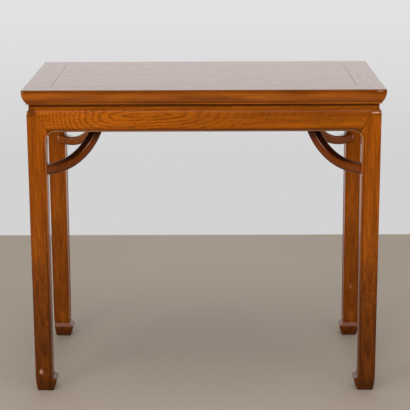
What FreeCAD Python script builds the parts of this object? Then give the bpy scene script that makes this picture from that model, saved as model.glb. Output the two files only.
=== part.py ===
import FreeCAD
import Part
import Sketcher
import math
import os
import re

# A waisted corner-leg desk in elm, in millimetres. The floor is z = 0, the desk stands centred on the origin,
# its length lies along X and its front faces -Y. Every piece is a solid of its own, jointed to the next.

SIZES = {
    # The whole desk
    "top_width": 980,
    "top_depth": 550,
    "table_height": 860,
    # Room left in every joint, and between the panel and its frame
    "joint_gap": 0.2,
    "panel_end_gap": 0.8,
    "panel_side_gap": 0.4,
    # Frame of the top, with its moulded edge
    "frame_width": 74,
    "frame_thick": 40,
    "edge_arris": 2.2,
    "edge_upright": 3,
    "belly_reach": 10,
    "quirk_height": 0.6,
    "bead_height": 4.6,
    "bead_bulge": 1.5,
    "lip_setback": 12,
    "corner_tenon_setback": 30,
    "corner_tenon_width": 30,
    "corner_tenon_thick": 10,
    "corner_tenon_end": 14,
    "tenon_cover": 3,
    # Floating panel
    "panel_thick": 14,
    "panel_lip": 6,
    "groove_height": 6,
    "groove_depth": 9,
    "tongue_length": 7,
    "board_tongue_thick": 4,
    "board_tongue_length": 5,
    # Battens under the panel
    "batten_width": 40,
    "batten_depth": 30,
    "batten_chamfer": 3,
    "batten_key_height": 5,
    "batten_key_neck": 22,
    "batten_key_head": 28,
    "batten_tenon_width": 26,
    "batten_tenon_thick": 10,
    "batten_tenon_length": 16,
    # Waist
    "waist_height": 15.5,
    "waist_setback": 6,
    "waist_tongue_thick": 5,
    "waist_tongue_length": 4,
    # Aprons
    "overhang": 11,
    "shoulder_drop": 10,
    "apron_height": 58.5,
    "apron_thick": 22,
    "apron_corner": 28,
    "mitre_top": 24,
    "apron_tenon_length": 10,
    "apron_tenon_thick": 8,
    "apron_tenon_depth": 7,
    "apron_tenon_height": 28,
    "apron_tenon_drop": 16,
    # Legs
    "leg_width": 50,
    "leg_taper": 2.5,
    "outer_arris": 4,
    "inner_arris": 6,
    "bead_radius": 2.8,
    "toe_height": 45,
    "toe_inset": 5,
    "hoof_height": 47,
    "hoof_cove": 15,
    "hoof_swing": 64,
    "hoof_nose": 5.5,
    "hoof_lean": 18,
    "leg_tenon_margin": 3,
    "leg_tenon_split": 2,
    # Braces, with their tenons, wedges and pins
    "brace_drop": 188,
    "brace_width": 30,
    "brace_root": 35,
    "brace_depth": 26,
    "brace_arris": 8,
    "brace_lead": 22,
    "brace_radius": 176,
    "brace_angle": 62,
    "return_radius": 60,
    "return_angle": 40,
    "brace_end": 30,
    "hook_width": 10,
    "hook_length": 22,
    "hook_low": 7,
    "hook_high": 5,
    "hook_lift": 5,
    "wedge_height": 13,
    "wedge_taper": 2,
    "stub_width": 12,
    "stub_height": 10,
    "pin_width": 6,
}

# Heights, as expressions of the sizes
FRAME_BOTTOM = "(table_height - frame_thick)"
SHOULDER = f"({FRAME_BOTTOM} - waist_height)"
APRON_BOTTOM = f"({SHOULDER} - apron_height)"
PANEL_BOTTOM = "(table_height - panel_thick)"
TONGUE_TOP = "(table_height - panel_lip - joint_gap)"
TONGUE_BOTTOM = "(table_height - panel_lip - groove_height + joint_gap)"
TENON_CEILING = f"({PANEL_BOTTOM} - tenon_cover)"
CORNER_TENON_BOTTOM = f"({TENON_CEILING} - corner_tenon_thick)"
BATTEN_BOTTOM = f"({PANEL_BOTTOM} - batten_depth)"
BRACE_LEVEL = f"({FRAME_BOTTOM} - brace_drop)"

# Distances from the middle of the desk: the top's edge, the frame's inner edge, and the face of the legs
EDGE = {"x": "(top_width / 2)", "y": "(top_depth / 2)"}
OPENING = {side: f"({edge} - frame_width)" for side, edge in EDGE.items()}
FACE = {side: f"({edge} - overhang)" for side, edge in EDGE.items()}

# The brace's middle line in its own upright plane, measured along and up from the leg's inner corner
BEND_ALONG = "(brace_lead + brace_radius * sin(brace_angle))"
BEND_UP = "(brace_radius * (1 - cos(brace_angle)))"
RETURN_ALONG = "(return_radius * (sin(brace_angle) - sin(return_angle)))"
RETURN_UP = "(return_radius * (cos(return_angle) - cos(brace_angle)))"
BRACE_RISE = f"({BATTEN_BOTTOM} - {BRACE_LEVEL})"
BRACE_RUN = f"(({BRACE_RISE} - {BEND_UP} - {RETURN_UP} - brace_end * sin(return_angle)) / sin(brace_angle))"
STRAIGHT_ALONG = f"({BEND_ALONG} + {BRACE_RUN} * cos(brace_angle))"
STRAIGHT_UP = f"({BEND_UP} + {BRACE_RUN} * sin(brace_angle))"
TOP_ALONG = f"({STRAIGHT_ALONG} + {RETURN_ALONG} + brace_end * cos(return_angle))"
BRACE_TOP = {side: f"({face} - leg_width - {TOP_ALONG} * cos(45))" for side, face in FACE.items()}

doc = FreeCAD.newDocument("desk")
sheet = doc.addObject("Spreadsheet::Sheet", "Sizes")
for row, (size_name, size) in enumerate(SIZES.items(), start=1):
    sheet.set(f"A{row}", size_name)
    sheet.set(f"B{row}", str(size))
    sheet.setAlias(f"B{row}", size_name)
doc.recompute()

# How far a cut runs past the wood, how close to a face a point counts as on it, and points tried on an edge
PAST = "1"
NEAR = 0.01
POINTS_PER_EDGE = 7

UP = FreeCAD.Vector(0, 0, 1)
ACROSS_X = FreeCAD.Vector(1, 0, 0)
ACROSS_Y = FreeCAD.Vector(0, 1, 0)
FRONT_VIEW = FreeCAD.Rotation(FreeCAD.Vector(1, 0, 0), 90)
SIDE_VIEW = FreeCAD.Rotation(FreeCAD.Vector(1, 1, 1), 120)


def bound(text):
    """The expression text with every size's name pointing at the sheet."""
    return re.sub(r"[a-z_]+", lambda word: f"Sizes.{word[0]}" if word[0] in SIZES else word[0], text)


def number(text):
    """What an expression comes to with the sheet's sizes."""
    return float(sheet.evalExpression(bound(text)))


def bind(thing, **expressions):
    """Bind properties of a document object; Placement is named by the letters x, y and z."""
    for name, text in expressions.items():
        path = f"Placement.Base.{name}" if name in "xyz" else name
        thing.setExpression(path, bound(text))
    return thing


def hold(sketch, kind, text, *points):
    """A dimension of a sketch, bound to an expression."""
    index = sketch.addConstraint(Sketcher.Constraint(kind, *points, number(text)))
    sketch.setExpression(f"Constraints[{index}]", bound(text))


def arc_between(start, end, turn, radius):
    """The shorter arc of a radius from start to end that turns left or right, as a sketch draws it."""
    side = 1 if turn == "left" else -1
    chord = end - start
    rise = math.sqrt(max(radius ** 2 - chord.Length ** 2 / 4, 0))
    across = FreeCAD.Vector(-chord.y, chord.x, 0).normalize()
    centre = (start + end) * 0.5 + across * rise * side
    first, last = (start, end) if turn == "left" else (end, start)
    angles = [math.atan2(point.y - centre.y, point.x - centre.x) for point in (first, last)]
    return Part.ArcOfCircle(Part.Circle(centre, UP, radius), *angles)


def trace(sketch, corners, closed=True):
    """Draw an outline or an open path through corners, each held at its own bound x and y.

    A corner is (x, y), with turn and radius after it where an arc leads on to the next corner.
    """
    spots = [FreeCAD.Vector(number(corner[0]), number(corner[1]), 0) for corner in corners]
    follow = spots[1:] + spots[:1] if closed else spots[1:]
    ends = []
    for corner, start, end in zip(corners, spots, follow):
        if len(corner) == 2:
            ends.append((sketch.addGeometry(Part.LineSegment(start, end), False), 1, 2))
            continue
        turn, radius = corner[2:]
        curve = sketch.addGeometry(arc_between(start, end, turn, number(radius)), False)
        ends.append((curve, 1, 2) if turn == "left" else (curve, 2, 1))
        hold(sketch, "Radius", radius, curve)
    starts = [(curve, start) for curve, start, _ in ends]
    stops = [(curve, end) for curve, _, end in ends]
    for stop, start in zip(stops, starts[1:] + starts[:1] if closed else starts[1:]):
        sketch.addConstraint(Sketcher.Constraint("Coincident", *stop, *start))
    for corner, spot in zip(corners, starts if closed else starts + stops[-1:]):
        hold(sketch, "DistanceX", corner[0], -1, 1, *spot)
        hold(sketch, "DistanceY", corner[1], -1, 1, *spot)


def trace_circle(sketch, x, y, radius):
    """A circle held at its bound centre and radius."""
    centre = FreeCAD.Vector(number(x), number(y), 0)
    curve = sketch.addGeometry(Part.Circle(centre, UP, number(radius)), False)
    hold(sketch, "DistanceX", x, -1, 1, curve, 3)
    hold(sketch, "DistanceY", y, -1, 1, curve, 3)
    hold(sketch, "Radius", radius, curve)


def rectangle(left, right, low, high):
    """The four corners of an upright rectangle."""
    return [(left, low), (right, low), (right, high), (left, high)]


def new_body(label):
    """An empty body that will be one piece of the desk."""
    body = doc.addObject("PartDesign::Body", label)
    body.Label = label
    return body


def body_sketch(body, name, plane, offset, *outlines):
    """A sketch on one of the body's origin planes, moved along that plane's normal."""
    sketch = body.newObject("Sketcher::SketchObject", name)
    planes = {feature.Role: feature for feature in body.Origin.OriginFeatures}
    sketch.AttachmentSupport = (planes[plane], [""])
    sketch.MapMode = "FlatFace"
    sketch.setExpression("AttachmentOffset.Base.z", bound(offset))
    for outline in outlines:
        trace(sketch, outline)
    return sketch


def pad(body, name, sketch, length):
    """Wood added along the sketch's normal."""
    feature = body.newObject("PartDesign::Pad", name)
    feature.Profile = sketch
    bind(feature, Length=length)
    doc.recompute()
    return feature


def pocket(body, name, sketch, length):
    """Wood cut away against the sketch's normal; a pocket that cuts nothing stops the build."""
    before = body.Shape.Volume
    feature = body.newObject("PartDesign::Pocket", name)
    feature.Profile = sketch
    bind(feature, Length=length)
    doc.recompute()
    if body.Shape.Volume > before - NEAR:
        raise ValueError(f"{body.Label}: {name} cuts nothing")
    return feature


def loose_sketch(name, view, *outlines):
    """A sketch of its own, seen from the front (x, z), from the side (y, z), or from above without a view."""
    sketch = doc.addObject("Sketcher::SketchObject", name)
    sketch.Placement = FreeCAD.Placement(FreeCAD.Vector(), view or FreeCAD.Rotation())
    for outline in outlines:
        trace(sketch, outline)
    return sketch


def extrude(name, sketch, direction, length, symmetric=False, **place):
    """A loose sketch drawn out to a solid."""
    solid = doc.addObject("Part::Extrusion", name)
    solid.Base = sketch
    solid.DirMode = "Custom"
    solid.Dir = direction
    solid.Solid = True
    solid.Symmetric = symmetric
    return bind(solid, LengthFwd=length, **place)


def box(name, low, high, turn=0):
    """A block between two corners, turned about an upright line through its low corner."""
    solid = doc.addObject("Part::Box", name)
    solid.Placement.Rotation = FreeCAD.Rotation(UP, turn)
    spans = [f"({end}) - ({start})" for start, end in zip(low, high)]
    bind(solid, Length=spans[0], Width=spans[1], Height=spans[2])
    return bind(solid, x=low[0], y=low[1], z=low[2])


def cut(name, base, *tools):
    """The base with every tool taken out of it."""
    for count, tool in enumerate(tools, start=1):
        result = doc.addObject("Part::Cut", name if count == len(tools) else f"{name}_{count}")
        result.Base = base
        result.Tool = tool
        base = result
    return base


def join(name, kind, *shapes):
    """Several solids in one Part::MultiFuse, Part::MultiCommon or Part::Compound."""
    result = doc.addObject(f"Part::{kind}", name)
    if kind == "Compound":
        result.Links = list(shapes)
    else:
        result.Shapes = list(shapes)
    return result


def round_edges(name, base, *rules):
    """Round the edges of base whose every point passes a test, and those that run on smoothly from them."""
    doc.recompute()
    edges = {}
    for radius, test in rules:
        for index, edge in enumerate(base.Shape.Edges, start=1):
            if all(test(point) for point in edge.discretize(POINTS_PER_EDGE)):
                edges[index] = number(radius)
    result = doc.addObject("Part::Fillet", name)
    result.Base = base
    result.Edges = [(index, radius, radius) for index, radius in edges.items()]
    doc.recompute()
    return result


def mirrored(label, source, normal):
    """The same piece on the other side of the desk."""
    copy = doc.addObject("Part::Mirroring", label)
    copy.Label = label
    copy.Source = source
    copy.Normal = normal
    return copy


pieces = []


# Top frame

BELLY_LOW = "(bead_height + quirk_height)"
BELLY_HIGH = "(frame_thick - edge_arris - edge_upright)"
BELLY_RADIUS = f"((({BELLY_HIGH} - {BELLY_LOW})^2 + belly_reach^2) / (2 * belly_reach))"
BEAD_RADIUS = "((bead_height^2 / 4 + bead_bulge^2) / (2 * bead_bulge))"
WAIST_THICK = "(apron_thick - waist_setback)"
TONGUE_NEAR = f"(overhang + waist_setback + {WAIST_THICK} / 2 - waist_tongue_thick / 2)"
LEG_TENON = "((leg_width - apron_thick - 2 * leg_tenon_margin - leg_tenon_split) / 2)"
TENON_OUTER = "(apron_thick + leg_tenon_margin)"
TENON_INNER = f"(leg_width - leg_tenon_margin - {LEG_TENON})"
CORNER_TENON_FAR = "(corner_tenon_setback + corner_tenon_width)"
BATTEN_MIDDLES = {"left_batten": f"-{BRACE_TOP['x']}", "centre_batten": "0", "right_batten": BRACE_TOP["x"]}


def frame_section(edge):
    """Section of a frame member from its moulded edge in, with the grooves for the panel and the waist."""
    outline = [
        ("lip_setback", "0", "right", BEAD_RADIUS),
        ("lip_setback", "bead_height"),
        ("belly_reach", BELLY_LOW, "right", BELLY_RADIUS),
        ("0", BELLY_HIGH),
        ("0", "frame_thick - edge_arris", "right", "edge_arris"),
        ("edge_arris", "frame_thick"),
        ("frame_width", "frame_thick"),
        ("frame_width", "frame_thick - panel_lip"),
        ("frame_width - groove_depth", "frame_thick - panel_lip"),
        ("frame_width - groove_depth", "frame_thick - panel_lip - groove_height"),
        ("frame_width", "frame_thick - panel_lip - groove_height"),
        ("frame_width", "0"),
        (f"{TONGUE_NEAR} + waist_tongue_thick + joint_gap", "0"),
        (f"{TONGUE_NEAR} + waist_tongue_thick + joint_gap", "waist_tongue_length + joint_gap"),
        (f"{TONGUE_NEAR} - joint_gap", "waist_tongue_length + joint_gap"),
        (f"{TONGUE_NEAR} - joint_gap", "0"),
    ]
    return [(f"{x} - {edge}", f"{FRAME_BOTTOM} + {z}", *bend) for x, z, *bend in outline]


def both_ends(axis, corners):
    """An outline at one end of a piece, and its mirror image at the other end along that axis."""
    other = [(f"-({x})", y) if axis == "x" else (x, f"-({y})") for x, y in corners]
    return corners, other


def corner_spot(x, y):
    """A point seen from above, measured in from the front left corner of the top."""
    return f"{x} - {EDGE['x']}", f"{y} - {EDGE['y']}"


def corner_block(left, right, near, far):
    """A rectangle seen from above, measured in from the front left corner of the top."""
    return [corner_spot(*spot) for spot in rectangle(left, right, near, far)]


rail = new_body("front_frame_rail")
section = body_sketch(rail, "rail_section", "YZ_Plane", f"-{EDGE['x']}", frame_section(EDGE["y"]))
pad(rail, "rail_length", section, "top_width")
waste = [corner_spot(f"-{PAST}", f"-{PAST}"),
         corner_spot(f"frame_width + {PAST}", f"frame_width + {PAST}"),
         corner_spot(f"-{PAST}", f"frame_width + {PAST}")]
mitres = body_sketch(rail, "rail_mitres", "XY_Plane", "table_height", *both_ends("x", waste))
pocket(rail, "rail_mitre_cut", mitres, "frame_thick")
tenon = corner_block("corner_tenon_end", f"{CORNER_TENON_FAR} + joint_gap",
                     "corner_tenon_setback", CORNER_TENON_FAR)
tenons = body_sketch(rail, "rail_tenons", "XY_Plane", CORNER_TENON_BOTTOM, *both_ends("x", tenon))
pad(rail, "rail_tenon_thick", tenons, "corner_tenon_thick")
leg_seat = corner_block(
    f"overhang + {TENON_INNER} - joint_gap", f"overhang + {TENON_INNER} + {LEG_TENON} + joint_gap",
    f"overhang + {TENON_OUTER} - joint_gap", f"overhang + {TENON_OUTER} + {LEG_TENON} + joint_gap")
leg_seats = body_sketch(rail, "rail_leg_seats", "XY_Plane", f"{TENON_CEILING} + joint_gap",
                        *both_ends("x", leg_seat))
pocket(rail, "rail_leg_mortise", leg_seats, f"{TENON_CEILING} + joint_gap - {FRAME_BOTTOM}")
batten_seats = [
    rectangle(f"{middle} - batten_tenon_width / 2 - joint_gap",
              f"{middle} + batten_tenon_width / 2 + joint_gap",
              f"{TENON_CEILING} - batten_tenon_thick - joint_gap",
              f"{TENON_CEILING} + joint_gap")
    for middle in BATTEN_MIDDLES.values()]
batten_mortises = body_sketch(rail, "rail_batten_seats", "XZ_Plane",
                              f"{OPENING['y']} + batten_tenon_length + joint_gap", *batten_seats)
pocket(rail, "rail_batten_mortise", batten_mortises, "batten_tenon_length + joint_gap")
pieces += [rail, mirrored("back_frame_rail", rail, ACROSS_Y)]

end = new_body("left_frame_end")
section = body_sketch(end, "end_section", "XZ_Plane", f"-{EDGE['y']}", frame_section(EDGE["x"]))
pad(end, "end_length", section, "top_depth")
waste = [corner_spot(f"-{PAST}", f"joint_gap - {PAST}"),
         corner_spot(f"frame_width + {PAST}", f"joint_gap - {PAST}"),
         corner_spot(f"frame_width + {PAST}", f"frame_width + {PAST} + joint_gap")]
mitres = body_sketch(end, "end_mitres", "XY_Plane", "table_height", *both_ends("y", waste))
pocket(end, "end_mitre_cut", mitres, "frame_thick")
tenon_seat = corner_block("corner_tenon_end - joint_gap", f"{CORNER_TENON_FAR} + joint_gap",
                          "corner_tenon_setback - joint_gap", f"{CORNER_TENON_FAR} + joint_gap")
tenon_seats = body_sketch(end, "end_tenon_seats", "XY_Plane", f"{TENON_CEILING} + joint_gap",
                          *both_ends("y", tenon_seat))
pocket(end, "end_tenon_mortise", tenon_seats, "corner_tenon_thick + 2 * joint_gap")
leg_seat = corner_block(
    f"overhang + {TENON_OUTER} - joint_gap", f"overhang + {TENON_OUTER} + {LEG_TENON} + joint_gap",
    f"overhang + {TENON_INNER} - joint_gap", f"overhang + {TENON_INNER} + {LEG_TENON} + joint_gap")
leg_seats = body_sketch(end, "end_leg_seats", "XY_Plane", CORNER_TENON_BOTTOM, *both_ends("y", leg_seat))
pocket(end, "end_leg_mortise", leg_seats, f"{CORNER_TENON_BOTTOM} - {FRAME_BOTTOM}")
pieces += [end, mirrored("right_frame_end", end, ACROSS_X)]


# Panel of two boards, tongued into the frame and joined to each other along the middle

BOARD_TONGUE = f"(({TONGUE_TOP} + {TONGUE_BOTTOM}) / 2)"
PANEL_X = f"({OPENING['x']} - panel_end_gap)"
PANEL_Y = f"({OPENING['y']} - panel_side_gap)"


def key_outline(middle, room):
    """The dovetail on top of a batten, or with room around it the slot that it slides into."""
    return [(f"{middle} - batten_key_neck / 2 - {room}", PANEL_BOTTOM),
            (f"{middle} + batten_key_neck / 2 + {room}", PANEL_BOTTOM),
            (f"{middle} + batten_key_head / 2 + {room}", f"{PANEL_BOTTOM} + batten_key_height + {room}"),
            (f"{middle} - batten_key_head / 2 - {room}", f"{PANEL_BOTTOM} + batten_key_height + {room}")]


def add_board(label, side, joint_edge):
    """One board: its tongued section drawn along X, the end tongues cut, then the slots for the battens."""
    board = new_body(label)
    outer = [(PANEL_Y, "table_height"), (PANEL_Y, TONGUE_TOP), (f"{PANEL_Y} + tongue_length", TONGUE_TOP),
             (f"{PANEL_Y} + tongue_length", TONGUE_BOTTOM), (PANEL_Y, TONGUE_BOTTOM), (PANEL_Y, PANEL_BOTTOM)]
    outline = [(f"{side} * ({y})", z) for y, z in outer] + joint_edge
    section = body_sketch(board, f"{label}_section", "YZ_Plane", f"-({PANEL_X} + tongue_length)", outline)
    pad(board, f"{label}_length", section, f"2 * ({PANEL_X} + tongue_length)")
    end_waste = both_ends("x", rectangle(f"-({PANEL_X} + tongue_length)", f"-{PANEL_X}",
                                         f"-{EDGE['y']}", EDGE["y"]))
    above = body_sketch(board, f"{label}_rebate_above", "XY_Plane", "table_height", *end_waste)
    pocket(board, f"{label}_upper_rebate", above, f"table_height - {TONGUE_TOP}")
    below = body_sketch(board, f"{label}_rebate_below", "XY_Plane", TONGUE_BOTTOM, *end_waste)
    pocket(board, f"{label}_lower_rebate", below, f"{TONGUE_BOTTOM} - {PANEL_BOTTOM}")
    slots = [key_outline(middle, "joint_gap") for middle in BATTEN_MIDDLES.values()]
    slot_sketch = body_sketch(board, f"{label}_slots", "XZ_Plane", EDGE["y"], *slots)
    pocket(board, f"{label}_batten_slots", slot_sketch, "top_depth")
    return board


tongue_edge = [("-joint_gap", PANEL_BOTTOM),
               ("-joint_gap", f"{BOARD_TONGUE} - board_tongue_thick / 2"),
               ("board_tongue_length", f"{BOARD_TONGUE} - board_tongue_thick / 2"),
               ("board_tongue_length", f"{BOARD_TONGUE} + board_tongue_thick / 2"),
               ("-joint_gap", f"{BOARD_TONGUE} + board_tongue_thick / 2"),
               ("-joint_gap", "table_height")]
groove_edge = [("0", PANEL_BOTTOM),
               ("0", f"{BOARD_TONGUE} - board_tongue_thick / 2 - joint_gap"),
               ("board_tongue_length + joint_gap", f"{BOARD_TONGUE} - board_tongue_thick / 2 - joint_gap"),
               ("board_tongue_length + joint_gap", f"{BOARD_TONGUE} + board_tongue_thick / 2 + joint_gap"),
               ("0", f"{BOARD_TONGUE} + board_tongue_thick / 2 + joint_gap"),
               ("0", "table_height")]
pieces += [add_board("panel_front_board", "-1", tongue_edge), add_board("panel_back_board", "1", groove_edge)]


# Battens, dovetailed along the panel's underside and tenoned into the long rails

BATTEN_REACH = f"({OPENING['y']} - joint_gap)"
PIN_LEVEL = f"({BATTEN_BOTTOM} + stub_height / 2)"


def add_batten(label, middle):
    """A batten across the desk at x = middle; its key and tenons are part of it."""
    batten = new_body(label)
    left, right = f"{middle} - batten_width / 2", f"{middle} + batten_width / 2"
    key = key_outline(middle, "0")
    outline = [(f"{left} + batten_chamfer", BATTEN_BOTTOM), (f"{right} - batten_chamfer", BATTEN_BOTTOM),
               (right, f"{BATTEN_BOTTOM} + batten_chamfer"), (right, PANEL_BOTTOM),
               key[1], key[2], key[3], key[0],
               (left, PANEL_BOTTOM), (left, f"{BATTEN_BOTTOM} + batten_chamfer")]
    section = body_sketch(batten, f"{label}_section", "XZ_Plane", f"-{BATTEN_REACH}", outline)
    pad(batten, f"{label}_length", section, f"2 * {BATTEN_REACH}")
    tenon = rectangle(f"{middle} - batten_tenon_width / 2", f"{middle} + batten_tenon_width / 2",
                      f"{TENON_CEILING} - batten_tenon_thick", TENON_CEILING)
    tenon_reach = f"({OPENING['y']} + batten_tenon_length)"
    tenon_sketch = body_sketch(batten, f"{label}_tenon", "XZ_Plane", f"-{tenon_reach}", tenon)
    pad(batten, f"{label}_tenons", tenon_sketch, f"2 * {tenon_reach}")
    return batten


def add_brace_seats(batten, middle):
    """The mortises and pin holes where two braces meet the batten from below."""
    half_seat = "(stub_width / 2 + joint_gap)"
    seat = rectangle(f"{middle} - {half_seat}", f"{middle} + {half_seat}",
                     f"-{BRACE_TOP['y']} - {half_seat}", f"-{BRACE_TOP['y']} + {half_seat}")
    seats = body_sketch(batten, f"{batten.Label}_seats", "XY_Plane",
                        f"{BATTEN_BOTTOM} + stub_height + joint_gap", *both_ends("y", seat))
    pocket(batten, f"{batten.Label}_mortises", seats, "stub_height + joint_gap")
    holes = body_sketch(batten, f"{batten.Label}_holes", "YZ_Plane", f"{middle} + batten_width / 2")
    for side in ("-", ""):
        trace_circle(holes, f"{side}{BRACE_TOP['y']}", PIN_LEVEL, "pin_width / 2 + joint_gap / 2")
    pocket(batten, f"{batten.Label}_pin_holes", holes, "batten_width")


for batten_label, batten_middle in BATTEN_MIDDLES.items():
    piece = add_batten(batten_label, batten_middle)
    if batten_label != "centre_batten":
        add_brace_seats(piece, batten_middle)
    pieces.append(piece)


# The mitre between apron and leg, measured in from the leg's outer face: it runs from the shoulder down to
# the middle of the rounded corner

MITRE_FOOT = "(leg_width + apron_corner * (1 - cos(45)))"
MITRE_FOOT_UP = f"({APRON_BOTTOM} - apron_corner * (1 - sin(45)))"
MITRE_SLOPE = f"(({MITRE_FOOT} - mitre_top) / ({SHOULDER} - {MITRE_FOOT_UP}))"


def mitre_at(height):
    """How far the mitre lies from the leg's outer face at a height."""
    return f"(mitre_top + ({SHOULDER} - ({height})) * {MITRE_SLOPE})"


# Waist strips, each between two leg stems, tongued into the frame above and the apron below

TONGUE_INSET = f"({TONGUE_NEAR} - overhang)"
WAIST_LOW = f"({SHOULDER} - waist_tongue_length)"


def add_waist(label, along, across):
    """A waist strip on the side of the desk that faces -across, drawn in plan."""
    strip = new_body(label)
    reach = f"({FACE[along]} - mitre_top - joint_gap)"
    near = f"(waist_setback - {FACE[across]})"
    far = f"({near} + {WAIST_THICK} - joint_gap)"
    tongue = f"({TONGUE_INSET} - {FACE[across]})"
    tongue_reach = f"({FACE[along]} - {mitre_at(WAIST_LOW)} - joint_gap)"
    plans = [(f"-{reach}", reach, near, far),
             (f"-{tongue_reach}", tongue_reach, tongue, f"{tongue} + waist_tongue_thick")]
    if along == "y":
        plans = [(low, high, start, stop) for start, stop, low, high in plans]
    plan = body_sketch(strip, f"{label}_plan", "XY_Plane", SHOULDER, rectangle(*plans[0]))
    pad(strip, f"{label}_height", plan, "waist_height")
    tongue_plan = body_sketch(strip, f"{label}_tongue_plan", "XY_Plane", WAIST_LOW, rectangle(*plans[1]))
    pad(strip, f"{label}_tongues", tongue_plan, "waist_height + 2 * waist_tongue_length")
    return strip


waist_front = add_waist("front_waist", "x", "y")
waist_left = add_waist("left_waist", "y", "x")
pieces += [waist_front, mirrored("back_waist", waist_front, ACROSS_Y)]
pieces += [waist_left, mirrored("right_waist", waist_left, ACROSS_X)]


APRON_TENON_TOP = f"({SHOULDER} - apron_tenon_drop)"
APRON_TENON_LOW = f"({APRON_TENON_TOP} - apron_tenon_height)"


def apron_tenon(room):
    """Outline of the apron's end tenon, seen from the apron's face, with room around it for the mortise."""
    high, low = f"({APRON_TENON_TOP} + {room})", f"({APRON_TENON_LOW} - {room})"
    return [(f"{mitre_at(high)} - apron_tenon_length - {room}", high),
            (f"{mitre_at(low)} - apron_tenon_length - {room}", low),
            (f"{mitre_at(low)} + apron_tenon_length", low),
            (f"{mitre_at(high)} + apron_tenon_length", high)]


# Bead: a thin rod along the rounded lower arris of the aprons and down the rounded inner arrises of the legs,
# standing a little proud of both faces

BEAD_IN = "(inner_arris * (1 - cos(45)))"
BEAD_BEND = f"(apron_corner + {BEAD_IN})"
BEAD_LEVEL = f"({APRON_BOTTOM} + {BEAD_IN})"
BEND_LEVEL = f"({APRON_BOTTOM} - apron_corner)"


def add_bead(name, view, path):
    """A round rod that starts upright and follows a path drawn on a face."""
    along, across = ("x", "y") if view is FRONT_VIEW else ("y", "x")
    line = doc.addObject("Sketcher::SketchObject", f"{name}_path")
    line.Placement = FreeCAD.Placement(FreeCAD.Vector(), view)
    trace(line, path, closed=False)
    bind(line, **{across: BEAD_IN})
    ring = bind(doc.addObject("Part::Circle", f"{name}_ring"), Radius="bead_radius",
                **{along: path[0][0], across: BEAD_IN, "z": path[0][1]})
    rod = doc.addObject("Part::Sweep", name)
    rod.Sections = [ring]
    rod.Spine = (line, [f"Edge{index}" for index in range(1, len(path))])
    rod.Solid = True
    rod.Transition = "Right corner"
    return rod


# Aprons, with a shoulder that rounds back under the waist, and a bead along the lower arris

SHOULDER_RADIUS = "((waist_setback^2 + shoulder_drop^2) / (2 * waist_setback))"


def add_apron(label, along, across):
    """An apron that runs along one axis, on the side of the desk that faces -across."""
    view, side_view = (FRONT_VIEW, SIDE_VIEW) if along == "x" else (SIDE_VIEW, FRONT_VIEW)
    depth_way, length_way = (ACROSS_Y, ACROSS_X) if along == "x" else (ACROSS_X, ACROSS_Y)
    face = FACE[along]
    arc_start = f"({face} - leg_width - apron_corner)"
    top = f"({face} - mitre_top - joint_gap)"
    foot = f"({face} - {MITRE_FOOT})"
    outline = [(f"-{foot}", MITRE_FOOT_UP, "right", "apron_corner"),
               (f"-{arc_start}", APRON_BOTTOM),
               (arc_start, APRON_BOTTOM, "right", "apron_corner"),
               (foot, MITRE_FOOT_UP),
               (top, SHOULDER),
               (f"-{top}", SHOULDER)]
    front = extrude(f"{label}_outline", loose_sketch(f"{label}_face", view, outline), depth_way,
                    "apron_thick - joint_gap")
    section = [("waist_setback", SHOULDER, "left", SHOULDER_RADIUS),
               ("0", f"{SHOULDER} - shoulder_drop"),
               ("0", f"{MITRE_FOOT_UP} - {PAST}"),
               ("apron_thick", f"{MITRE_FOOT_UP} - {PAST}"),
               ("apron_thick", SHOULDER)]
    bar = extrude(f"{label}_section", loose_sketch(f"{label}_end", side_view, section), length_way,
                  f"2 * {face}", symmetric=True)
    blank = join(f"{label}_blank", "MultiCommon", front, bar)
    depth_of = {"x": lambda point: point.y, "y": lambda point: point.x}[along]
    limit = number(APRON_BOTTOM) + NEAR
    eased = round_edges(f"{label}_eased", blank,
                        ("inner_arris", lambda point: abs(depth_of(point)) < NEAR and point.z < limit))
    tenon_ends = both_ends("x", [(f"{x} - {face}", z) for x, z in apron_tenon("0")])
    tenons = [extrude(f"{label}_tenon_{end}", loose_sketch(f"{label}_tenon_face_{end}", view, shape),
                      depth_way, "apron_tenon_thick", **{across: "apron_tenon_depth"})
              for end, shape in zip(("first", "last"), tenon_ends)]
    bend_end = f"({arc_start} + {BEAD_BEND})"
    bead = add_bead(f"{label}_bead_rod", view, [
        (f"-{bend_end}", BEND_LEVEL, "right", BEAD_BEND),
        (f"-{arc_start}", BEAD_LEVEL),
        (arc_start, BEAD_LEVEL, "right", BEAD_BEND),
        (bend_end, BEND_LEVEL)])
    bead_foot = f"({face} - {mitre_at(BEND_LEVEL)} - joint_gap)"
    mitres = extrude(f"{label}_bead_mitres", loose_sketch(f"{label}_bead_mitre_face", view, [
        (f"-{bead_foot}", BEND_LEVEL), (bead_foot, BEND_LEVEL), (top, SHOULDER), (f"-{top}", SHOULDER)]),
        depth_way, "2 * apron_thick", symmetric=True)
    mitred = join(f"{label}_bead", "MultiCommon", bead, mitres)
    whole = join(f"{label}_whole", "MultiFuse", eased, mitred, *tenons)
    groove_low = {along: f"-{face}", across: f"{TONGUE_INSET} - joint_gap"}
    groove_high = {along: face, across: f"{TONGUE_INSET} + waist_tongue_thick + joint_gap"}
    groove = box(f"{label}_groove",
                 (groove_low["x"], groove_low["y"], f"{SHOULDER} - waist_tongue_length - joint_gap"),
                 (groove_high["x"], groove_high["y"], f"{SHOULDER} + {PAST}"))
    apron = cut(label, whole, groove)
    apron.Label = label
    return bind(apron, **{across: f"-{FACE[across]}"})


apron_front = add_apron("front_apron", "x", "y")
apron_left = add_apron("left_apron", "y", "x")
pieces += [apron_front, mirrored("back_apron", apron_front, ACROSS_Y)]
pieces += [apron_left, mirrored("right_apron", apron_left, ACROSS_X)]


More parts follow.
